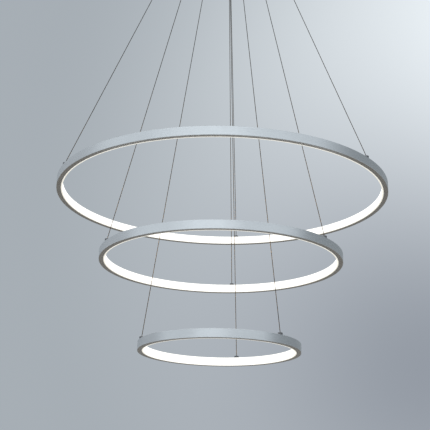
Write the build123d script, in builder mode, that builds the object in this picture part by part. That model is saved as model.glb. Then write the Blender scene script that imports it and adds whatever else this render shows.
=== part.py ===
"""A pendant light of three level LED rings, each hung by three wires from one ceiling canopy.

Millimetres, +Z up. The origin is on the ceiling, at the centre of the canopy, so that
everything hangs below z = 0. Each ring is an aluminium channel rolled to a circle and open
inwards, with a glowing diffuser in its mouth. A ring's wires run from crimped stops inside
the channel, out of bright sockets on its top and up to grippers under the canopy, whose
plungers free a wire when they are pushed in, so that the ring can be set higher or lower.
"""
from build123d import *
from math import cos, hypot, pi, radians, sin
import os

os.makedirs("parts", exist_ok=True)

# The three rings: outside diameter, depth of the lower face below the ceiling, distance of
# the wires' upper ends from the axis, and direction of the first wire seen from above.
large_diameter = 800.0
large_drop = 765.0
large_gripper_radius = 120.0
large_first_wire = 90.0
middle_diameter = 580.0
middle_drop = 932.0
middle_gripper_radius = 80.0
middle_first_wire = 90.0
small_diameter = 380.0
small_drop = 1144.0
small_gripper_radius = 40.0
small_first_wire = 82.5
wires_per_ring = 3

# Ring channel, open towards the axis
channel_depth = 11.3
channel_height = 20.0
channel_wall = 1.5
channel_corner = 0.5
groove_width = 1.0
groove_depth = 0.6
groove_inset = 0.7
seam_gap = 0.3
seam_from_wire = 15.0

# Diffuser, which covers the channel's mouth and is held in it by two beads
diffuser_proud = 3.0
diffuser_gap = 0.1
diffuser_wall = 1.6
diffuser_leg = 1.2
diffuser_plug = 1.9
diffuser_corner = 0.6
bead_height = 0.4
snap_clearance = 0.1

# LED tape, stuck on the channel's back wall
tape_width = 10.0
tape_thickness = 0.4
tape_glue = 0.1
chip_size = 5.0
chip_height = 1.0
chip_pitch = 33.3

# Joiner bars across the channel's seam, above and below the tape
joiner_length = 60.0
joiner_depth = 3.6
joiner_height = 3.0
joiner_clearance = 0.15
grub_diameter = 2.0
grub_length = 3.0
grub_spacing = 36.0

# Wires
wire_diameter = 1.5
wire_bore_clearance = 0.35
wire_straight = 1.6
wire_bend_radius = 6.0
wire_end_inset = 1.0

# Wire sockets on the rings
socket_diameter = 11.0
socket_height = 5.0
socket_corner = 0.6
mouth_depth = 1.6
mouth_diameter = 4.4
stud_diameter = 4.0
stud_reach = 4.6
stud_clearance = 0.15
socket_nut_flats = 7.0
socket_nut_height = 2.4
stop_diameter = 4.0
stop_length = 4.0
stop_wire_tail = 0.6
crimp_clearance = 0.05

# Wire grippers under the canopy
gripper_wall = 1.7
gripper_end_wall = 2.0
gripper_top_wall = 4.0
gripper_corner = 0.6
spring_space = 4.0
plunger_diameter = 4.6
plunger_proud = 4.0
plunger_flange_rim = 1.0
plunger_flange_height = 2.5
plunger_travel = 1.5
plunger_clearance = 0.1
plunger_tip_corner = 0.4
shank_diameter = 6.0
shank_reach = 7.0
shank_clearance = 0.2
gripper_nut_flats = 10.0
gripper_nut_height = 4.0
nut_thread_clearance = 0.05

# Canopy pan
pan_diameter = 300.0
pan_height = 45.0
pan_wall = 1.2
pan_corner_radius = 8.0
pan_rim_width = 4.0

# Ceiling bracket
strap_width = 28.0
strap_thickness = 2.0
strap_bend_radius = 3.0
strap_gap = 4.0
tab_length = 18.0
ceiling_hole_spacing = 150.0
ceiling_hole_diameter = 5.5
slot_length = 20.0
slot_spacing = 212.0
cable_hole_diameter = 13.0

# Side screws that hold the pan on the bracket
side_screw_diameter = 4.0
side_screw_height = 9.0
side_screw_clearance = 0.2
side_thread_clearance = 0.05
side_screw_reach = 4.0
side_head_diameter = 9.0
side_head_length = 4.0
side_head_flutes = 12
side_flute_diameter = 0.75

# LED driver
driver_length = 160.0
driver_width = 40.0
driver_height = 25.0
driver_corner = 3.0
driver_from_rim = 55.0
driver_lid_line = 1.0
driver_lid_height = 18.0
driver_entry_diameter = 7.0
driver_entry_depth = 6.0
ear_length = 12.0
ear_width = 20.0
ear_thickness = 2.0
driver_stud_diameter = 4.0
driver_stud_height = 8.0
driver_stud_clearance = 0.25
driver_nut_flats = 7.0
driver_nut_height = 3.2

# Terminal block and earth screw under the strap
terminal_poles = 3
terminal_pitch = 10.0
terminal_width = 17.0
terminal_height = 9.0
terminal_tower_width = 5.5
terminal_tower_height = 5.0
terminal_tower_spacing = 9.0
terminal_entry_diameter = 3.6
terminal_screw_diameter = 3.4
terminal_screw_length = 3.0
terminal_well_clearance = 0.2
terminal_from_axis = 42.0
fixing_screw_diameter = 2.5
fixing_head_diameter = 4.2
fixing_head_height = 1.6
fixing_head_corner = 0.4
earth_from_axis = 42.0
earth_diameter = 4.0
earth_head_diameter = 8.0
earth_head_height = 2.6
earth_head_corner = 0.8
screw_slot_width = 0.8
screw_slot_depth = 0.8

# Places that follow from the sizes above
wire_letters = "abcdefgh"[:wires_per_ring]
bore_diameter = wire_diameter + 2 * wire_bore_clearance
pan_floor = -pan_height + pan_wall
gripper_chamber_length = plunger_flange_height + plunger_travel + spring_space
gripper_length = gripper_end_wall + gripper_chamber_length + gripper_top_wall
gripper_bottom = -pan_height - gripper_length
plunger_tip = gripper_bottom - plunger_proud
flange_diameter = plunger_diameter + 2 * plunger_flange_rim
chamber_diameter = flange_diameter + 2 * plunger_clearance
gripper_diameter = chamber_diameter + 2 * gripper_wall
shank_top = -pan_height + shank_reach
bracket_reach = pan_diameter / 2 - pan_wall - strap_gap
flat_to_axis = 30
fixing_x = -terminal_from_axis + terminal_pitch / 2
stud_x = (driver_length + ear_length) / 2
driver_from_axis = pan_diameter / 2 - driver_from_rim


class Ring:
    """One light ring: its sizes and the places that depend on them."""

    def __init__(self, name, diameter, drop, gripper_radius, first_wire):
        self.name = name
        self.radius = diameter / 2
        self.bottom = -drop
        self.top = -drop + channel_height
        self.gripper_radius = gripper_radius
        self.first_wire = first_wire
        self.socket_radius = self.radius - channel_depth / 2
        self.seam = first_wire + seam_from_wire

    def spots(self, radius):
        """The places of this ring's wires, on a circle of that radius."""
        return PolarLocations(radius, wires_per_ring, start_angle=self.first_wire)


rings = [
    Ring("large", large_diameter, large_drop, large_gripper_radius, large_first_wire),
    Ring("middle", middle_diameter, middle_drop, middle_gripper_radius, middle_first_wire),
    Ring("small", small_diameter, small_drop, small_gripper_radius, small_first_wire),
]


def save(part, name):
    """Give a finished piece its name and write it out."""
    part.label = name
    export_step(part, f"parts/{name}.step")


def turned(angle, height=0.0):
    """A level plane at that height, with its X direction at an angle about the axis."""
    direction = (cos(radians(angle)), sin(radians(angle)), 0)
    return Plane(origin=(0, 0, height), x_dir=direction, z_dir=(0, 0, 1))


def upright(angle):
    """The half plane through the axis at that angle: X points outwards and Y points up."""
    direction = (cos(radians(angle)), sin(radians(angle)), 0)
    sideways = (direction[1], -direction[0], 0)
    return Plane(origin=(0, 0, 0), x_dir=direction, z_dir=sideways)


# ---------------------------------------------------------------- ceiling end

with BuildPart() as ceiling_bracket:
    # a strap with both ends bent down, drawn from the side
    with BuildSketch(Plane.XZ) as strap_side:
        with Locations((0, -strap_thickness / 2)):
            Rectangle(2 * bracket_reach, strap_thickness)
        with Locations(
            (bracket_reach - strap_thickness / 2, -tab_length / 2),
            (-bracket_reach + strap_thickness / 2, -tab_length / 2),
        ):
            Rectangle(strap_thickness, tab_length)
        fillet(strap_side.vertices().group_by(Axis.Y)[-1], strap_bend_radius)
    extrude(amount=strap_width / 2, both=True)
    with Locations((ceiling_hole_spacing / 2, 0, 0), (-ceiling_hole_spacing / 2, 0, 0)):
        Hole(ceiling_hole_diameter / 2, depth=strap_thickness)
    Hole(cable_hole_diameter / 2, depth=strap_thickness)
    with Locations((earth_from_axis, 0, 0)):
        Hole(earth_diameter / 2 + nut_thread_clearance, depth=strap_thickness)
    with Locations((fixing_x, 0, 0)):
        Hole(fixing_screw_diameter / 2 + nut_thread_clearance, depth=strap_thickness)
    with BuildSketch(Plane.XY):
        with Locations((slot_spacing / 2, 0), (-slot_spacing / 2, 0)):
            SlotOverall(slot_length, ceiling_hole_diameter)
    extrude(amount=-strap_thickness, mode=Mode.SUBTRACT)
    with BuildSketch(Plane.YZ):
        with Locations((0, -side_screw_height)):
            Circle(side_screw_diameter / 2 + side_thread_clearance)
    extrude(amount=bracket_reach, both=True, mode=Mode.SUBTRACT)
save(ceiling_bracket.part, "ceiling_bracket")


with BuildPart() as canopy_pan:
    # a dish with a rounded edge, whose rim turns inwards where it meets the ceiling
    with BuildSketch(Plane.XZ):
        with BuildLine():
            outside = FilletPolyline(
                (0, -pan_height),
                (pan_diameter / 2, -pan_height),
                (pan_diameter / 2, 0),
                radius=pan_corner_radius,
            )
            inside = FilletPolyline(
                (0, pan_floor),
                (pan_diameter / 2 - pan_wall, pan_floor),
                (pan_diameter / 2 - pan_wall, 0),
                radius=pan_corner_radius - pan_wall,
            )
            Line(outside @ 0, inside @ 0)
            Line(outside @ 1, inside @ 1)
        make_face()
        with Locations((pan_diameter / 2 - pan_rim_width / 2, -pan_wall / 2)):
            Rectangle(pan_rim_width, pan_wall)
    revolve(axis=Axis.Z)
    # holes for the grippers' shanks
    with BuildSketch(Plane.XY.offset(-pan_height)):
        for ring in rings:
            with ring.spots(ring.gripper_radius):
                Circle(shank_diameter / 2 + shank_clearance)
    extrude(amount=pan_wall, mode=Mode.SUBTRACT)
    # holes for the side screws
    with BuildSketch(Plane.YZ):
        with Locations((0, -side_screw_height)):
            Circle(side_screw_diameter / 2 + side_screw_clearance)
    extrude(amount=pan_diameter / 2, both=True, mode=Mode.SUBTRACT)
    # two welded studs for the driver
    with BuildSketch(Plane.XY.offset(pan_floor)):
        with Locations((stud_x, -driver_from_axis), (-stud_x, -driver_from_axis)):
            Circle(driver_stud_diameter / 2)
    extrude(amount=driver_stud_height)
save(canopy_pan.part, "canopy_pan")


with BuildPart() as side_screws:
    # thumb screws with fluted heads, one from each side
    for side in (1, -1):
        outwards = (side, 0, 0)
        seat = (side * pan_diameter / 2, 0, -side_screw_height)
        tab_inside = bracket_reach - strap_thickness - side_screw_reach
        with BuildSketch(Plane(origin=seat, x_dir=(0, 1, 0), z_dir=outwards)):
            Circle(side_head_diameter / 2)
            with PolarLocations(side_head_diameter / 2, side_head_flutes):
                Circle(side_flute_diameter / 2, mode=Mode.SUBTRACT)
        extrude(amount=side_head_length)
        with BuildSketch(Plane(origin=seat, x_dir=(0, 1, 0), z_dir=outwards)):
            Circle(side_screw_diameter / 2)
        extrude(amount=tab_inside - pan_diameter / 2)
save(side_screws.part, "canopy_side_screws")


with BuildPart() as led_driver:
    # housing with a lid line, a lead entry in each end and a fixing ear at each end
    with BuildSketch(Plane.XY.offset(pan_floor)):
        with Locations((0, -driver_from_axis)):
            RectangleRounded(driver_length, driver_width, driver_corner)
    extrude(amount=driver_height)
    with BuildSketch(Plane.XY.offset(pan_floor + driver_lid_height)):
        with Locations((0, -driver_from_axis)):
            RectangleRounded(driver_length, driver_width, driver_corner)
            RectangleRounded(
                driver_length - 2 * driver_lid_line,
                driver_width - 2 * driver_lid_line,
                driver_corner,
                mode=Mode.SUBTRACT,
            )
    extrude(amount=driver_lid_line, mode=Mode.SUBTRACT)
    for side in (1, -1):
        end = (side * driver_length / 2, -driver_from_axis, pan_floor + driver_lid_height / 2)
        with BuildSketch(Plane(origin=end, x_dir=(0, 1, 0), z_dir=(side, 0, 0))):
            Circle(driver_entry_diameter / 2)
        extrude(amount=-driver_entry_depth, mode=Mode.SUBTRACT)
        with BuildSketch(Plane.XY.offset(pan_floor)):
            with Locations((side * stud_x, -driver_from_axis)):
                Rectangle(ear_length, ear_width)
                Circle(driver_stud_diameter / 2 + driver_stud_clearance, mode=Mode.SUBTRACT)
        extrude(amount=ear_thickness)
save(led_driver.part, "led_driver")


with BuildPart() as driver_nuts:
    with BuildSketch(Plane.XY.offset(pan_floor + ear_thickness)):
        with Locations((stud_x, -driver_from_axis), (-stud_x, -driver_from_axis)):
            RegularPolygon(driver_nut_flats / 2, 6, major_radius=False)
            Circle(driver_stud_diameter / 2 + nut_thread_clearance, mode=Mode.SUBTRACT)
    extrude(amount=driver_nut_height)
save(driver_nuts.part, "driver_nuts")


terminal_length = terminal_poles * terminal_pitch
terminal_plane = Plane(
    origin=(-terminal_from_axis, 0, -strap_thickness), x_dir=(1, 0, 0), z_dir=(0, 0, -1)
)

with BuildPart() as terminal_block:
    # a strip of screw terminals hanging under the strap, each pole with a lead entry across it
    with BuildSketch(terminal_plane):
        Rectangle(terminal_length, terminal_width)
    extrude(amount=terminal_height)
    with BuildSketch(terminal_plane.offset(terminal_height)):
        with GridLocations(terminal_pitch, terminal_tower_spacing, terminal_poles, 2):
            Rectangle(terminal_tower_width, terminal_tower_width)
    extrude(amount=terminal_tower_height)
    with BuildSketch(terminal_plane.offset(terminal_height)):
        with GridLocations(terminal_pitch, terminal_tower_spacing, terminal_poles, 2):
            Circle(terminal_screw_diameter / 2 + terminal_well_clearance)
    extrude(amount=terminal_tower_height, mode=Mode.SUBTRACT)
    entry_depth = terminal_height / 2
    entries = Plane(
        origin=(-terminal_from_axis, 0, -strap_thickness - entry_depth), x_dir=(1, 0, 0), z_dir=(0, -1, 0)
    )
    with BuildSketch(entries):
        with GridLocations(terminal_pitch, 1, terminal_poles, 1):
            Circle(terminal_entry_diameter / 2)
    extrude(amount=terminal_width / 2, both=True, mode=Mode.SUBTRACT)
    with BuildSketch(terminal_plane):
        with Locations((terminal_pitch / 2, 0)):
            Circle(fixing_screw_diameter / 2 + nut_thread_clearance)
    extrude(amount=terminal_height, mode=Mode.SUBTRACT)
save(terminal_block.part, "terminal_block")


with BuildPart() as terminal_screws:
    # slotted clamp screws, sunk in the towers
    with BuildSketch(terminal_plane.offset(terminal_height)):
        with GridLocations(terminal_pitch, terminal_tower_spacing, terminal_poles, 2):
            Circle(terminal_screw_diameter / 2)
    extrude(amount=terminal_screw_length)
    with BuildSketch(terminal_plane.offset(terminal_height + terminal_screw_length)):
        with GridLocations(terminal_pitch, terminal_tower_spacing, terminal_poles, 2):
            Rectangle(screw_slot_width, terminal_screw_diameter)
    extrude(amount=-screw_slot_depth, mode=Mode.SUBTRACT)
save(terminal_screws.part, "terminal_screws")


with BuildPart() as terminal_fixing_screw:
    with BuildSketch(Plane.XY.offset(-strap_thickness - terminal_height)):
        with Locations((fixing_x, 0)):
            Circle(fixing_head_diameter / 2)
    extrude(amount=-fixing_head_height)
    chamfer(terminal_fixing_screw.edges().group_by(Axis.Z)[0], fixing_head_corner)
    with BuildSketch(Plane.XY.offset(-strap_thickness - terminal_height)):
        with Locations((fixing_x, 0)):
            Circle(fixing_screw_diameter / 2)
    extrude(amount=strap_thickness + terminal_height)
save(terminal_fixing_screw.part, "terminal_fixing_screw")


with BuildPart() as earth_screw:
    with BuildSketch(Plane.XY.offset(-strap_thickness)):
        with Locations((earth_from_axis, 0)):
            Circle(earth_head_diameter / 2)
    extrude(amount=-earth_head_height)
    chamfer(earth_screw.edges().group_by(Axis.Z)[0], earth_head_corner)
    with BuildSketch(Plane.XY.offset(-strap_thickness)):
        with Locations((earth_from_axis, 0)):
            Circle(earth_diameter / 2)
    extrude(amount=strap_thickness)
    with BuildSketch(Plane.XY.offset(-strap_thickness - earth_head_height)):
        with Locations((earth_from_axis, 0)):
            Rectangle(earth_head_diameter, screw_slot_width)
    extrude(amount=screw_slot_depth, mode=Mode.SUBTRACT)
save(earth_screw.part, "earth_screw")


# ---------------------------------------------------------------- wire grippers

with BuildPart() as gripper:
    # one gripper on the axis: barrel below the pan, shank through it, stepped bore for the plunger
    with BuildSketch(Plane.XY.offset(gripper_bottom)):
        Circle(gripper_diameter / 2)
    extrude(amount=gripper_length)
    chamfer(gripper.edges().group_by(Axis.Z)[0], gripper_corner)
    with BuildSketch(Plane.XY.offset(-pan_height)):
        Circle(shank_diameter / 2)
    extrude(amount=shank_reach)
    with BuildSketch(Plane.XY.offset(gripper_bottom)):
        Circle(plunger_diameter / 2 + plunger_clearance)
    extrude(amount=gripper_end_wall, mode=Mode.SUBTRACT)
    with BuildSketch(Plane.XY.offset(gripper_bottom + gripper_end_wall)):
        Circle(chamber_diameter / 2)
    extrude(amount=gripper_chamber_length, mode=Mode.SUBTRACT)
    with BuildSketch(Plane.XY.offset(gripper_bottom)):
        Circle(bore_diameter / 2)
    extrude(amount=gripper_length + shank_reach, mode=Mode.SUBTRACT)


with BuildPart() as plunger:
    # one release plunger on the axis: its flange rests on the gripper's end wall
    with BuildSketch(Plane.XY.offset(plunger_tip)):
        Circle(plunger_diameter / 2)
    extrude(amount=plunger_proud + gripper_end_wall)
    chamfer(plunger.edges().group_by(Axis.Z)[0], plunger_tip_corner)
    with BuildSketch(Plane.XY.offset(gripper_bottom + gripper_end_wall)):
        Circle(flange_diameter / 2)
    extrude(amount=plunger_flange_height)
    with BuildSketch(Plane.XY.offset(plunger_tip)):
        Circle(bore_diameter / 2)
    extrude(amount=plunger_proud + gripper_end_wall + plunger_flange_height, mode=Mode.SUBTRACT)


with BuildPart() as wire_grippers:
    for ring in rings:
        with ring.spots(ring.gripper_radius):
            add(gripper.part)
save(wire_grippers.part, "wire_grippers")


with BuildPart() as gripper_nuts:
    with BuildSketch(Plane.XY.offset(pan_floor)):
        for ring in rings:
            with ring.spots(ring.gripper_radius):
                RegularPolygon(gripper_nut_flats / 2, 6, major_radius=False)
                Circle(shank_diameter / 2 + nut_thread_clearance, mode=Mode.SUBTRACT)
    extrude(amount=gripper_nut_height)
save(gripper_nuts.part, "gripper_nuts")


for ring in rings:
    for spot, letter in zip(ring.spots(ring.gripper_radius).locations, wire_letters):
        with BuildPart() as release_plunger:
            with Locations(spot):
                add(plunger.part)
        save(release_plunger.part, f"{ring.name}_plunger_{letter}")


# ---------------------------------------------------------------- rings

with BuildPart() as socket:
    # one wire socket on the axis, with the ring's top at z = 0: barrel with a flared mouth, and a stud
    with BuildSketch():
        Circle(socket_diameter / 2)
    extrude(amount=socket_height)
    chamfer(socket.edges().group_by(Axis.Z)[-1], socket_corner)
    with BuildSketch():
        Circle(stud_diameter / 2)
    extrude(amount=-stud_reach)
    with BuildSketch(Plane.XY.offset(-stud_reach)):
        Circle(bore_diameter / 2)
    extrude(amount=stud_reach + socket_height, mode=Mode.SUBTRACT)
    with BuildSketch(Plane.XY.offset(socket_height - mouth_depth)):
        Circle(bore_diameter / 2)
    with BuildSketch(Plane.XY.offset(socket_height)):
        Circle(mouth_diameter / 2)
    loft(mode=Mode.SUBTRACT)


def seam_slot(ring):
    """The thin gap where the ends of a ring's rolled strips meet."""
    with BuildPart() as slot:
        with BuildSketch(turned(ring.seam, ring.bottom)):
            with Locations((ring.radius, 0)):
                Rectangle(4 * channel_depth, seam_gap)
        extrude(amount=channel_height)
    return slot.part


def make_channel(ring):
    """The aluminium channel: flanges above and below, grooves near the mouth, holes for the studs."""
    mouth = ring.radius - channel_depth
    slot = seam_slot(ring)
    with BuildPart() as channel:
        with BuildSketch(Plane.XZ) as section:
            with Locations((mouth + channel_depth / 2, ring.bottom + channel_height / 2)):
                Rectangle(channel_depth, channel_height)
            chamfer(section.vertices(), channel_corner)
            with Locations((mouth, ring.bottom + channel_height / 2)):
                Rectangle(
                    2 * (channel_depth - channel_wall), channel_height - 2 * channel_wall, mode=Mode.SUBTRACT
                )
            with Locations((mouth + groove_inset + groove_width / 2, ring.bottom + channel_height / 2)):
                Rectangle(
                    groove_width, channel_height - 2 * (channel_wall - groove_depth), mode=Mode.SUBTRACT
                )
        revolve(axis=Axis.Z)
        add(slot, mode=Mode.SUBTRACT)
        with BuildSketch(Plane.XY.offset(ring.top)):
            with ring.spots(ring.socket_radius):
                Circle(stud_diameter / 2 + stud_clearance)
        extrude(amount=-channel_wall, mode=Mode.SUBTRACT)
    save(channel.part, f"{ring.name}_channel")


def make_diffuser(ring):
    """The milky cover: a face over both flanges' edges, and two legs with beads inside the mouth."""
    mouth = ring.radius - channel_depth
    inner_face = mouth - diffuser_proud
    inside_height = channel_height - 2 * (channel_wall + snap_clearance)
    middle = ring.bottom + channel_height / 2
    bead_width = groove_width - 2 * snap_clearance
    slot = seam_slot(ring)
    with BuildPart() as diffuser:
        with BuildSketch(Plane.XZ) as section:
            with Locations((mouth - (diffuser_proud + diffuser_gap) / 2, middle)):
                Rectangle(diffuser_proud - diffuser_gap, channel_height)
            chamfer(section.vertices().group_by(Axis.X)[0], diffuser_corner)
            with Locations((mouth + diffuser_plug / 2 - diffuser_gap, middle)):
                Rectangle(diffuser_plug + 2 * diffuser_gap, inside_height)
            with Locations((mouth + groove_inset + groove_width / 2, middle)):
                Rectangle(bead_width, inside_height + 2 * bead_height)
            hollow = diffuser_proud + diffuser_plug - diffuser_wall
            with Locations((inner_face + diffuser_wall + hollow / 2, middle)):
                Rectangle(hollow, inside_height - 2 * diffuser_leg, mode=Mode.SUBTRACT)
        revolve(axis=Axis.Z)
        add(slot, mode=Mode.SUBTRACT)
    save(diffuser.part, f"{ring.name}_diffuser")


def make_led_tape(ring):
    """The LED tape on the channel's back wall, with its row of chips."""
    outer = ring.radius - channel_wall - tape_glue
    inner = outer - tape_thickness
    chips = round(2 * pi * ring.radius / chip_pitch)
    middle = ring.bottom + channel_height / 2
    slot = seam_slot(ring)
    with BuildPart() as led_tape:
        with BuildSketch(Plane.XY.offset(middle - tape_width / 2)):
            Circle(outer)
            Circle(inner, mode=Mode.SUBTRACT)
        extrude(amount=tape_width)
        with BuildSketch(Plane.XY.offset(middle - chip_size / 2)):
            half_step = 180 / chips
            with PolarLocations(inner - chip_height / 2, chips, start_angle=ring.seam + half_step):
                Rectangle(chip_height + tape_thickness, chip_size)
        extrude(amount=chip_size)
        add(slot, mode=Mode.SUBTRACT)
    save(led_tape.part, f"{ring.name}_led_tape")


def joiner_heights(ring):
    """The lower faces of the two joiner bars."""
    lower = ring.bottom + channel_wall + joiner_clearance
    return lower, ring.top - channel_wall - joiner_clearance - joiner_height


def make_joiner(ring):
    """Two curved bars across the seam, in the corners behind the diffuser, and their grub screws."""
    outer = ring.radius - channel_wall - joiner_clearance
    inner = outer - joiner_depth
    arc = joiner_length / outer * 180 / pi
    screw_angle = grub_spacing / outer * 90 / pi
    screw_angles = (ring.seam - screw_angle, ring.seam + screw_angle)
    with BuildPart() as joiner:
        for height in joiner_heights(ring):
            with BuildSketch(upright(ring.seam - arc / 2)):
                with Locations(((inner + outer) / 2, height + joiner_height / 2)):
                    Rectangle(joiner_depth, joiner_height)
            revolve(axis=Axis.Z, revolution_arc=arc)
            for angle in screw_angles:
                with BuildSketch(across(angle, inner - joiner_depth)):
                    with Locations((0, height + joiner_height / 2)):
                        Circle(grub_diameter / 2 + nut_thread_clearance)
                extrude(amount=2 * joiner_depth + joiner_clearance, mode=Mode.SUBTRACT)
    save(joiner.part, f"{ring.name}_joiner")
    with BuildPart() as grub_screws:
        for height in joiner_heights(ring):
            for angle in screw_angles:
                with BuildSketch(across(angle, outer + joiner_clearance / 2)):
                    with Locations((0, height + joiner_height / 2)):
                        Circle(grub_diameter / 2)
                extrude(amount=-grub_length)
    save(grub_screws.part, f"{ring.name}_grub_screws")


def across(angle, radius):
    """An upright plane that faces outwards, at that angle and distance; its Y points up."""
    direction = (cos(radians(angle)), sin(radians(angle)), 0)
    place = (radius * direction[0], radius * direction[1], 0)
    return Plane(origin=place, x_dir=(-direction[1], direction[0], 0), z_dir=direction)


def make_fittings(ring):
    """The wire sockets on top, their nuts under the flange, and the crimped stops on the wires."""
    with BuildPart() as sockets:
        for spot in ring.spots(ring.socket_radius).locations:
            with Locations(Location((0, 0, ring.top)) * spot):
                add(socket.part)
    save(sockets.part, f"{ring.name}_wire_sockets")
    with BuildPart() as socket_nuts:
        with BuildSketch(Plane.XY.offset(ring.top - channel_wall)):
            with ring.spots(ring.socket_radius):
                RegularPolygon(socket_nut_flats / 2, 6, major_radius=False, rotation=flat_to_axis)
                Circle(stud_diameter / 2 + nut_thread_clearance, mode=Mode.SUBTRACT)
        extrude(amount=-socket_nut_height)
    save(socket_nuts.part, f"{ring.name}_socket_nuts")
    with BuildPart() as stops:
        with BuildSketch(Plane.XY.offset(ring.top - stud_reach)):
            with ring.spots(ring.socket_radius):
                Circle(stop_diameter / 2)
                Circle(wire_diameter / 2 + crimp_clearance, mode=Mode.SUBTRACT)
        extrude(amount=-stop_length)
    save(stops.part, f"{ring.name}_wire_stops")


def make_wires(ring):
    """Each wire: upright in its socket, straight up to its gripper, and upright again inside it."""
    low = ring.top - stud_reach - stop_length - stop_wire_tail
    low_bend = ring.top + socket_height - mouth_depth + wire_straight
    high_bend = plunger_tip - wire_straight
    high = shank_top - wire_end_inset
    lean = hypot(ring.socket_radius - ring.gripper_radius, high_bend - low_bend)
    for angle, letter in zip(ring_angles(ring), wire_letters):
        with BuildPart() as wire:
            with BuildLine(upright(angle)):
                FilletPolyline(
                    (ring.socket_radius, low),
                    (ring.socket_radius, low_bend),
                    (ring.gripper_radius, high_bend),
                    (ring.gripper_radius, high),
                    radius=wire_bend_radius,
                )
            with BuildSketch(turned(angle, low)):
                with Locations((ring.socket_radius, 0)):
                    Circle(wire_diameter / 2)
            sweep()
        save(wire.part, f"{ring.name}_wire_{letter}")
    length = low_bend - low + lean + high - high_bend
    area = pi * wire_diameter**2 / 4
    print(f"{ring.name} wires: {length:.1f} mm, bends {wire_bend_radius} mm,", end=" ")
    print(f"volume over section times length {wire.part.volume / area / length:.4f}")


def ring_angles(ring):
    """The directions of this ring's wires."""
    return [ring.first_wire + 360 / wires_per_ring * n for n in range(wires_per_ring)]


for ring in rings:
    make_channel(ring)
    make_diffuser(ring)
    make_led_tape(ring)
    make_joiner(ring)
    make_fittings(ring)
    make_wires(ring)
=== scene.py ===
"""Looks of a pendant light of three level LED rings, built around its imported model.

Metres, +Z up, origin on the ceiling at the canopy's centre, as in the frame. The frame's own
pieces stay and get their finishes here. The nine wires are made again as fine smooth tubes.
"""
from math import cos, pi, radians, sin

import bmesh
import bpy
from mathutils import Matrix, Vector


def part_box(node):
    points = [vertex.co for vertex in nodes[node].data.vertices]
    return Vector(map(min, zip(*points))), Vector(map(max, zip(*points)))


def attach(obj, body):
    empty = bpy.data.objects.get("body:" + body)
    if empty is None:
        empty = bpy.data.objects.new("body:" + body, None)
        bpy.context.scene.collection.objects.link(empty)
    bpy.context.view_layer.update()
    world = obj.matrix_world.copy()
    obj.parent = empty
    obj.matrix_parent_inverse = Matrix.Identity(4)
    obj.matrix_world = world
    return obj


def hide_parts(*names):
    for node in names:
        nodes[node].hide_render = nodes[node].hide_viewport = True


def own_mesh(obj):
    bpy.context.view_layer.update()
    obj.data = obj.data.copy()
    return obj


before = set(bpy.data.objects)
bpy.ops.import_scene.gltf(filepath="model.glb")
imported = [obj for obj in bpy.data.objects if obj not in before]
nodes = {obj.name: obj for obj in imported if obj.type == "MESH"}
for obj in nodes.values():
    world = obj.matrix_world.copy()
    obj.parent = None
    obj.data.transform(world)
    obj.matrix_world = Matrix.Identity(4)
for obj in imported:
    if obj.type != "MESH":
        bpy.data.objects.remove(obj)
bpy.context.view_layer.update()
scene = bpy.context.scene

ring_names = ("large", "middle", "small")
wire_letters = "abc"

# ---------------------------------------------------------------- camera

image_width = 430                 # pixels
focal_pixels = 973.1
sensor_width = 36.0               # millimetres
camera_distance = 2.243           # from the lamp's axis
camera_height = -1.5429
camera_place = radians(-83.87)    # direction from the axis to the camera, seen from above
camera_heading = radians(6.54)    # turn to the left of +Y
camera_pitch = radians(18.15)
camera_roll = radians(1.14)


def make_camera():
    """The photograph's camera, below the lamp and looking up at it."""
    data = bpy.data.cameras.new("camera")
    data.sensor_width = sensor_width
    data.lens = focal_pixels / image_width * sensor_width
    camera = bpy.data.objects.new("camera", data)
    place = Vector((cos(camera_place), sin(camera_place), 0)) * camera_distance
    place.z = camera_height
    camera.matrix_world = (
        Matrix.Translation(place)
        @ Matrix.Rotation(camera_heading, 4, "Z")
        @ Matrix.Rotation(pi / 2 + camera_pitch, 4, "X")
        @ Matrix.Rotation(camera_roll, 4, "Z")
    )
    scene.collection.objects.link(camera)
    scene.camera = camera


# ---------------------------------------------------------------- wires

wire_diameter = 0.0015
wire_sides = 4                    # bevel resolution of a tube
wire_steps = 8                    # steps in each span of the spline

# For each ring: the direction of its wire a in degrees
first_wire = {"large": 90.0, "middle": 90.0, "small": 82.5}

# Each route from the stop in the channel up into the canopy: (distance from the axis, height)
routes = {
    "large": [
        (0.39435, -0.7542), (0.39435, -0.7460), (0.39435, -0.7400), (0.39096, -0.73166),
        (0.12339, -0.07294), (0.12000, -0.0646), (0.12000, -0.0586), (0.12000, -0.0390),
    ],
    "middle": [
        (0.28435, -0.9212), (0.28435, -0.9130), (0.28435, -0.9070), (0.28223, -0.89825),
        (0.08212, -0.07335), (0.08000, -0.0646), (0.08000, -0.0586), (0.08000, -0.0390),
    ],
    "small": [
        (0.18435, -1.1332), (0.18435, -1.1250), (0.18435, -1.1190), (0.18313, -1.11008),
        (0.04122, -0.07352), (0.04000, -0.0646), (0.04000, -0.0586), (0.04000, -0.0390),
    ],
}

hanging_wires = bpy.data.collections.new("hanging_wires")      # what the glow strips light


def spline_object(name, points, bevel=0.0):
    """A smooth open spline through the route, thin or with a round section."""
    data = bpy.data.curves.new(name, "CURVE")
    data.dimensions = "3D"
    data.bevel_depth = bevel
    data.bevel_resolution = wire_sides
    data.use_fill_caps = True
    data.resolution_u = wire_steps
    spline = data.splines.new("NURBS")
    spline.points.add(len(points) - 1)
    for point, place in zip(spline.points, points):
        point.co = (*place, 1)
    spline.order_u = 3
    spline.use_endpoint_u = True
    return bpy.data.objects.new(name, data)


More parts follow.
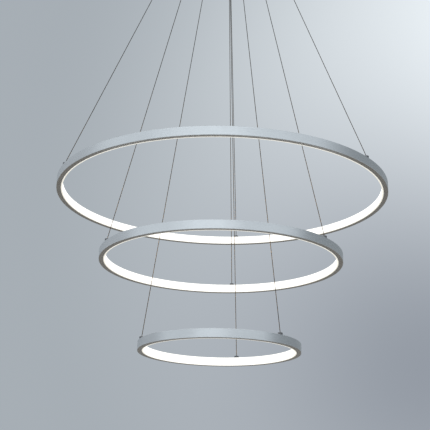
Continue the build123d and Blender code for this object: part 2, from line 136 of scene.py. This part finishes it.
def mesh_of(curve):
    """The spline's mesh: its line of points, or its tube if it has a section."""
    scene.collection.objects.link(curve)
    bpy.context.view_layer.update()
    evaluated = curve.evaluated_get(bpy.context.evaluated_depsgraph_get())
    mesh = bpy.data.meshes.new_from_object(evaluated)
    bpy.data.objects.remove(curve)
    return mesh


def make_wire(ring, letter, finish):
    """One wire as a smooth tube, in the place of its CAD node."""
    turn = radians(first_wire[ring] + 360 / len(wire_letters) * wire_letters.index(letter))
    points = [(r * cos(turn), r * sin(turn), z) for r, z in routes[ring]]
    centreline = [v.co.copy() for v in mesh_of(spline_object("line", points)).vertices]
    name = f"{ring}_hanging_wire_{letter}"
    mesh = mesh_of(spline_object("tube", points, bevel=wire_diameter / 2))
    mesh.name = name
    mesh.shade_smooth()
    wire = bpy.data.objects.new(name, mesh)
    scene.collection.objects.link(wire)
    hanging_wires.objects.link(wire)
    mesh.materials.append(finish)
    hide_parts(f"{ring}_wire_{letter}")
    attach(wire, "canopy")
    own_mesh(wire)


# ---------------------------------------------------------------- finishes

# The scales given to Finish.place are in cycles per metre.


class Finish:
    """A material under construction, with short ways to add nodes and join them."""

    def __init__(self, name, **values):
        self.material = bpy.data.materials.new(name)
        self.material.use_nodes = True
        self.tree = self.material.node_tree
        self.shader = self.tree.nodes["Principled BSDF"]
        for key, value in values.items():
            socket = key.replace("_", " ").title().replace("Ior", "IOR")
            self.shader.inputs[socket].default_value = value

    def node(self, kind, inputs=(), **settings):
        """Add a node; inputs are (socket, value or socket of another node) pairs."""
        made = self.tree.nodes.new(kind)
        for key, value in settings.items():
            setattr(made, key, value)
        for socket, value in inputs:
            if isinstance(value, bpy.types.NodeSocket):
                self.tree.links.new(value, made.inputs[socket])
            else:
                made.inputs[socket].default_value = value
        return made

    def place(self, scale):
        """The point in the piece's own frame, scaled along each axis."""
        here = self.node("ShaderNodeTexCoord").outputs["Object"]
        made = self.node("ShaderNodeMapping", [("Vector", here), ("Scale", scale)])
        return made.outputs["Vector"]

    def noise(self, vector, detail=3.0):
        """Soft noise of one cycle to a unit of the vector."""
        inputs = [("Vector", vector), ("Scale", 1.0), ("Detail", detail), ("Roughness", 0.55)]
        return self.node("ShaderNodeTexNoise", inputs).outputs["Fac"]

    def ramp(self, factor, *stops):
        """Colours between (position, colour) stops."""
        made = self.node("ShaderNodeValToRGB", [("Fac", factor)])
        elements = made.color_ramp.elements
        while len(elements) < len(stops):
            elements.new(1.0)
        for element, (position, colour) in zip(elements, stops):
            element.position = position
            element.color = (*colour, 1)
        return made.outputs["Color"]

    def spread(self, factor, low, high):
        """A factor's middle half, mapped to run from low to high."""
        within = [("From Min", 0.25), ("From Max", 0.75)]
        to = [("To Min", low), ("To Max", high)]
        made = self.node("ShaderNodeMapRange", [("Value", factor), *within, *to])
        return made.outputs["Result"]

    def bump(self, height, strength, distance):
        """Raise the surface by the height's pattern, at most by the distance in metres."""
        inputs = [("Height", height), ("Strength", strength), ("Distance", distance)]
        self.join(self.node("ShaderNodeBump", inputs).outputs["Normal"], "Normal")

    def join(self, output, socket):
        """Feed a node's output to a socket of the shader."""
        self.tree.links.new(output, self.shader.inputs[socket])


def shade(colour, amount):
    """The colour made darker or lighter, never past full."""
    return tuple(min(1.0, c * amount) for c in colour)


def rolled_aluminium():
    """Satin anodised channel: faint lines drawn along the ring, and slow cloudy tones."""
    silver = (0.55, 0.57, 0.585)
    made = Finish("ring_aluminium", metallic=1.0)
    lines = made.noise(made.place((4, 4, 1600)), detail=2)
    clouds = made.noise(made.place((9, 9, 9)), detail=4)
    tones = made.ramp(clouds, (0.3, shade(silver, 0.95)), (0.7, shade(silver, 1.04)))
    made.join(tones, "Base Color")
    made.join(made.spread(lines, 0.34, 0.40), "Roughness")
    made.bump(lines, 0.03, 0.00005)
    return made.material


def plain_aluminium():
    """Sawn bar of bare aluminium with a fine grain."""
    silver = (0.58, 0.58, 0.59)
    made = Finish("joiner_aluminium", metallic=1.0)
    grain = made.noise(made.place((900, 900, 900)))
    made.join(made.ramp(grain, (0.3, shade(silver, 0.9)), (0.7, silver)), "Base Color")
    made.join(made.spread(grain, 0.38, 0.52), "Roughness")
    return made.material


def glowing_diffuser():
    """Milky extrusion lit from behind: its face glows, its upper and lower edges are creamier."""
    face_strength, edge_strength = 0.88, 0.52
    cream = (1.0, 0.90, 0.68, 1)
    made = Finish("diffuser", roughness=0.45, base_color=(0.62, 0.615, 0.60, 1))
    normal = made.node("ShaderNodeNewGeometry").outputs["Normal"]
    height = made.node("ShaderNodeSeparateXYZ", [("Vector", normal)]).outputs["Z"]
    edge = made.node("ShaderNodeMath", [(0, height)], operation="ABSOLUTE").outputs["Value"]
    milk = made.noise(made.place((30, 30, 60)), detail=2)
    glow = made.ramp(milk, (0.3, (1.0, 0.955, 0.89)), (0.7, (1.0, 0.985, 0.95)))
    blend = [("Factor", edge), ("A", glow), ("B", cream)]
    tint = made.node("ShaderNodeMix", blend, data_type="RGBA")
    made.join(tint.outputs["Result"], "Emission Color")
    made.join(made.spread(edge, face_strength, edge_strength), "Emission Strength")
    made.bump(made.noise(made.place((500, 500, 2500))), 0.05, 0.0001)
    return made.material


def wire_jacket():
    """Smoky jacket over fine twisted strands: dark and brown, with a very faint gloss."""
    made = Finish("wire_jacket", roughness=0.42, specular_ior_level=0.03)
    dark, brown = (0.010, 0.008, 0.005), (0.040, 0.029, 0.016)
    strands = made.noise(made.place((5200, 5200, 260)), detail=2)
    made.join(made.ramp(strands, (0.35, dark), (0.65, brown)), "Base Color")
    made.bump(strands, 0.3, 0.0001)
    return made.material


def polished(name, colour):
    """Plated and polished metal with a very slight haze."""
    made = Finish(name, metallic=1.0, base_color=(*colour, 1))
    haze = made.noise(made.place((700, 700, 700)), detail=4)
    made.join(made.spread(haze, 0.07, 0.14), "Roughness")
    made.bump(haze, 0.03, 0.00005)
    return made.material


def plated_steel(name, colour, low, high):
    """Zinc or plain steel: a grain of fine spangles with uneven gloss."""
    made = Finish(name, metallic=1.0)
    spangles = made.noise(made.place((420, 420, 420)), detail=4)
    tones = made.ramp(spangles, (0.32, shade(colour, 0.82)), (0.68, shade(colour, 1.08)))
    made.join(tones, "Base Color")
    made.join(made.spread(spangles, low, high), "Roughness")
    made.bump(spangles, 0.08, 0.0001)
    return made.material


def satin_paint():
    """Sprayed silver paint: fine metal flakes under a thin clear layer, slight orange peel."""
    silver = (0.62, 0.63, 0.65)
    made = Finish("canopy_paint", metallic=0.75, coat_weight=0.25, coat_roughness=0.2)
    flakes = made.noise(made.place((2600, 2600, 2600)), detail=2)
    peel = made.noise(made.place((260, 260, 260)), detail=2)
    tones = made.ramp(flakes, (0.35, shade(silver, 0.9)), (0.65, shade(silver, 1.06)))
    made.join(tones, "Base Color")
    made.join(made.spread(flakes, 0.34, 0.46), "Roughness")
    made.bump(peel, 0.06, 0.0002)
    return made.material


def moulded_plastic(name, colour, grain_scale):
    """Fine spark-eroded grain with uneven gloss, and slightly uneven tone."""
    made = Finish(name)
    grain = made.noise(made.place((grain_scale,) * 3), detail=3)
    tone = made.noise(made.place((22, 22, 22)), detail=2)
    made.join(made.ramp(tone, (0.3, shade(colour, 0.95)), (0.7, colour)), "Base Color")
    made.join(made.spread(grain, 0.42, 0.6), "Roughness")
    made.bump(grain, 0.15, 0.0002)
    return made.material


def led_tape():
    """White solder mask, speckled with the warm tone of phosphor."""
    made = Finish("led_tape", roughness=0.4)
    speckle = made.noise(made.place((1800, 1800, 1800)))
    phosphor, mask = (0.84, 0.8, 0.62), (0.9, 0.88, 0.8)
    made.join(made.ramp(speckle, (0.35, phosphor), (0.65, mask)), "Base Color")
    made.bump(speckle, 0.1, 0.0001)
    return made.material


def dress(finish, *names):
    """Give a finish to CAD nodes, which keep their shapes."""
    for name in names:
        node = nodes[name]
        node.data.materials.clear()
        node.data.materials.append(finish)


def dress_all():
    """Finish every CAD node, and return the wires' finish."""
    aluminium, diffuser, tape = rolled_aluminium(), glowing_diffuser(), led_tape()
    joiner = plain_aluminium()
    chrome = polished("chrome", (0.62, 0.63, 0.65))
    # The sockets' chrome is made far darker than the plungers' to show the dark reflections on
    # them: painted shade
    painted_shade_chrome = polished("painted_shade_chrome", (0.115, 0.115, 0.12))
    zinc = plated_steel("zinc_steel", (0.60, 0.62, 0.63), 0.25, 0.42)
    crimp = plated_steel("crimp_steel", (0.52, 0.52, 0.53), 0.35, 0.5)
    brass = plated_steel("earth_brass", (0.72, 0.55, 0.26), 0.22, 0.38)
    for ring in ring_names:
        dress(aluminium, f"{ring}_channel")
        dress(diffuser, f"{ring}_diffuser")
        dress(tape, f"{ring}_led_tape")
        dress(joiner, f"{ring}_joiner")
        dress(painted_shade_chrome, f"{ring}_wire_sockets")
        dress(chrome, *(f"{ring}_plunger_{letter}" for letter in wire_letters))
        dress(zinc, f"{ring}_grub_screws", f"{ring}_socket_nuts")
        dress(crimp, f"{ring}_wire_stops")
    dress(chrome, "wire_grippers", "canopy_side_screws")
    dress(zinc, "ceiling_bracket", "gripper_nuts", "driver_nuts")
    dress(zinc, "terminal_screws", "terminal_fixing_screw")
    dress(brass, "earth_screw")
    dress(satin_paint(), "canopy_pan")
    dress(moulded_plastic("driver_plastic", (0.86, 0.86, 0.84), 900), "led_driver")
    dress(moulded_plastic("terminal_plastic", (0.85, 0.82, 0.72), 1400), "terminal_block")
    return wire_jacket()


# ---------------------------------------------------------------- studio

lamp_centre = Vector((0, 0, -0.9))
wall_colour = (0.385, 0.425, 0.462)

# Soft patches on the surroundings: heading, elevation, radius (degrees) and colour
patches = [
    (0, 90, 60, (1.30, 1.33, 1.36)),       # pale ceiling light
    (-70, 20, 45, (0.62, 0.66, 0.70)),     # lighter wall to the left
    (26, 16, 42, (1.26, 1.33, 1.37)),      # glow on the wall, to the right of the lamp
    (6, 9, 23.5, (0.30, 0.33, 0.376)),     # shade on the wall, below the glow
]

floor_height = -3.4
floor_radius = 60.0
floor_tones = ((0.80, 0.81, 0.82), (0.84, 0.845, 0.85))
floor_cycles = 0.8                # of its slow tones, per metre
circle_edges = 96

# Soft panels on the camera's side: name, heading (degrees), width and brightness
panel_distance = 4.0              # of panels and standing card, from the lamp's centre
panel_elevation = 18              # degrees
panel_height = 2.6
panel_tint = (0.95, 1.0, 1.03)
panels = [
    ("front_panel", 186, 3.6, 0.96),
    ("left_panel", 237, 3.6, 0.62),
    ("right_panel", 131, 4.4, 0.64),
]

# Dark oval card on the floor behind the lamp, seen only in metal: painted shade in the rings' lower
# faces
dark_card_length = 20.0
dark_card_slimness = 0.55         # its width, as a share of its length
dark_card_heading = -6.5          # degrees
dark_card_lift = 0.1              # above the floor
dark_card_tones = ((0.31, 0.265, 0.215), (0.33, 0.285, 0.235))
dark_card_cycles = 0.5

# Standing card, seen only in metal, that keeps the glow on the wall out of the rings' right ends:
# painted shade in their reflection
side_card_heading = 50            # degrees
side_card_elevation = 15
side_card_width = 5.8
side_card_height = 4.0
side_card_tone = (0.36, 0.395, 0.42)

# Warm bands that stand for the rings' own light on the wires
glow_inset = 0.006                # from the diffuser's outside
glow_share = 0.8                  # of the diffuser's height
glow_colour = (1.0, 0.80, 0.50)
glow_brightness = 60.0


def direction(heading, elevation):
    """The way to a place around the lamp; headings run clockwise from +Y, seen from above."""
    turn, rise = radians(heading), radians(elevation)
    return Vector((sin(turn) * cos(rise), cos(turn) * cos(rise), sin(rise)))


def face_lamp(piece, heading, elevation):
    """Stand a panel or card around the lamp, with its face towards it."""
    away = direction(heading, elevation)
    piece.location = lamp_centre + away * panel_distance
    piece.rotation_mode = "QUATERNION"
    piece.rotation_quaternion = away.to_track_quat("Z", "Y")


def stage_piece(name, shape, finish):
    """Make a shape into a piece of the studio, which isn't part of the lamp."""
    mesh = bpy.data.meshes.new(name)
    shape.to_mesh(mesh)
    shape.free()
    mesh.materials.append(finish.material)
    piece = bpy.data.objects.new(name, mesh)
    scene.collection.objects.link(piece)
    return piece


def only_reflected(card):
    """Keep a card out of sight, apart from its reflection in metal."""
    card.visible_camera = False
    card.visible_diffuse = False
    card.visible_shadow = False


def disc(name, radius, height, tones, cycles):
    """A level round plane with slow soft tones."""
    shape = bmesh.new()
    bmesh.ops.create_circle(shape, cap_ends=True, radius=radius, segments=circle_edges)
    finish = Finish(name, roughness=0.8, specular_ior_level=0.0)
    tone = finish.noise(finish.place((cycles,) * 3), detail=3)
    finish.join(finish.ramp(tone, (0.3, tones[0]), (0.7, tones[1])), "Base Color")
    plane = stage_piece(name, shape, finish)
    plane.location.z = height
    return plane


def lay_dark_card():
    """The dark oval starts under the lamp and reaches away from the camera."""
    radius = dark_card_length / 2
    height = floor_height + dark_card_lift
    card = disc("dark_card", radius, height, dark_card_tones, dark_card_cycles)
    card.location += direction(dark_card_heading, 0) * radius
    card.rotation_euler.z = -radians(dark_card_heading)
    card.scale.x = dark_card_slimness
    only_reflected(card)


def stand_side_card():
    """The side card shows one even tone of its own."""
    shape = bmesh.new()
    bmesh.ops.create_grid(shape, x_segments=1, y_segments=1, size=0.5)
    bmesh.ops.scale(shape, vec=(side_card_width, side_card_height, 1), verts=shape.verts)
    finish = Finish(
        "side_card", base_color=(0, 0, 0, 1), specular_ior_level=0.0,
        emission_color=(*side_card_tone, 1), emission_strength=1.0,
    )
    card = stage_piece("side_card", shape, finish)
    face_lamp(card, side_card_heading, side_card_elevation)
    only_reflected(card)


def light_panel(name, heading, width, brightness):
    """A large soft panel that faces the lamp; brightness is what its face shows."""
    data = bpy.data.lights.new(name, "AREA")
    data.shape = "RECTANGLE"
    data.size = width
    data.size_y = panel_height
    data.energy = brightness * pi * width * panel_height
    data.color = panel_tint
    light = bpy.data.objects.new(name, data)
    face_lamp(light, heading, panel_elevation)
    light.visible_camera = False
    scene.collection.objects.link(light)


def glow_strip(ring):
    """A ring's own light on the wires around it: a warm band just inside its diffuser."""
    low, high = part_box(f"{ring}_diffuser")
    radius = high[0] - glow_inset
    depth = (high[2] - low[2]) * glow_share
    shape = bmesh.new()
    bmesh.ops.create_cone(
        shape, segments=circle_edges, radius1=radius, radius2=radius, depth=depth, cap_ends=False
    )
    name = f"{ring}_glow"
    finish = Finish(name, emission_color=(*glow_colour, 1), emission_strength=glow_brightness)
    strip = stage_piece(name, shape, finish)
    strip.location.z = (low[2] + high[2]) / 2
    strip.visible_camera = False
    strip.visible_glossy = False
    strip.visible_transmission = False
    strip.visible_shadow = False
    strip.light_linking.receiver_collection = hanging_wires


def patch_share(tree, seen, heading, elevation, radius):
    """How much of a patch is seen: all at its middle, and softly less towards its edge."""
    toward = tree.nodes.new("ShaderNodeVectorMath")
    toward.operation = "DOT_PRODUCT"
    toward.inputs[1].default_value = direction(heading, elevation)
    tree.links.new(seen, toward.inputs[0])
    inside = tree.nodes.new("ShaderNodeMapRange")
    inside.inputs["From Min"].default_value = cos(radians(radius))
    tree.links.new(toward.outputs["Value"], inside.inputs["Value"])
    share = tree.nodes.new("ShaderNodeMath")
    share.operation = "POWER"
    share.inputs[1].default_value = 2
    tree.links.new(inside.outputs["Result"], share.inputs[0])
    return share.outputs["Value"]


def make_world():
    """A plain blue-grey room, lighter and darker in soft patches."""
    world = bpy.data.worlds.new("studio")
    world.use_nodes = True
    scene.world = world
    tree = world.node_tree
    seen = tree.nodes.new("ShaderNodeTexCoord").outputs["Generated"]
    colour = None
    for heading, elevation, radius, tone in patches:
        blend = tree.nodes.new("ShaderNodeMix")
        blend.data_type = "RGBA"
        blend.inputs["A"].default_value = (*wall_colour, 1)
        blend.inputs["B"].default_value = (*tone, 1)
        share = patch_share(tree, seen, heading, elevation, radius)
        tree.links.new(share, blend.inputs["Factor"])
        if colour:
            tree.links.new(colour, blend.inputs["A"])
        colour = blend.outputs["Result"]
    tree.links.new(colour, tree.nodes["Background"].inputs["Color"])


def light_studio():
    """Panels on the camera's side, cards that only metal sees, and the glow on the wires."""
    for name, heading, width, brightness in panels:
        light_panel(name, heading, width, brightness)
    lay_dark_card()
    stand_side_card()
    for ring in ring_names:
        glow_strip(ring)


# ---------------------------------------------------------------- making

make_camera()
jacket = dress_all()
for ring in ring_names:
    for letter in wire_letters:
        make_wire(ring, letter, jacket)
disc("floor", floor_radius, floor_height, floor_tones, floor_cycles)
make_world()
light_studio()
scene.view_settings.view_transform = "Standard"
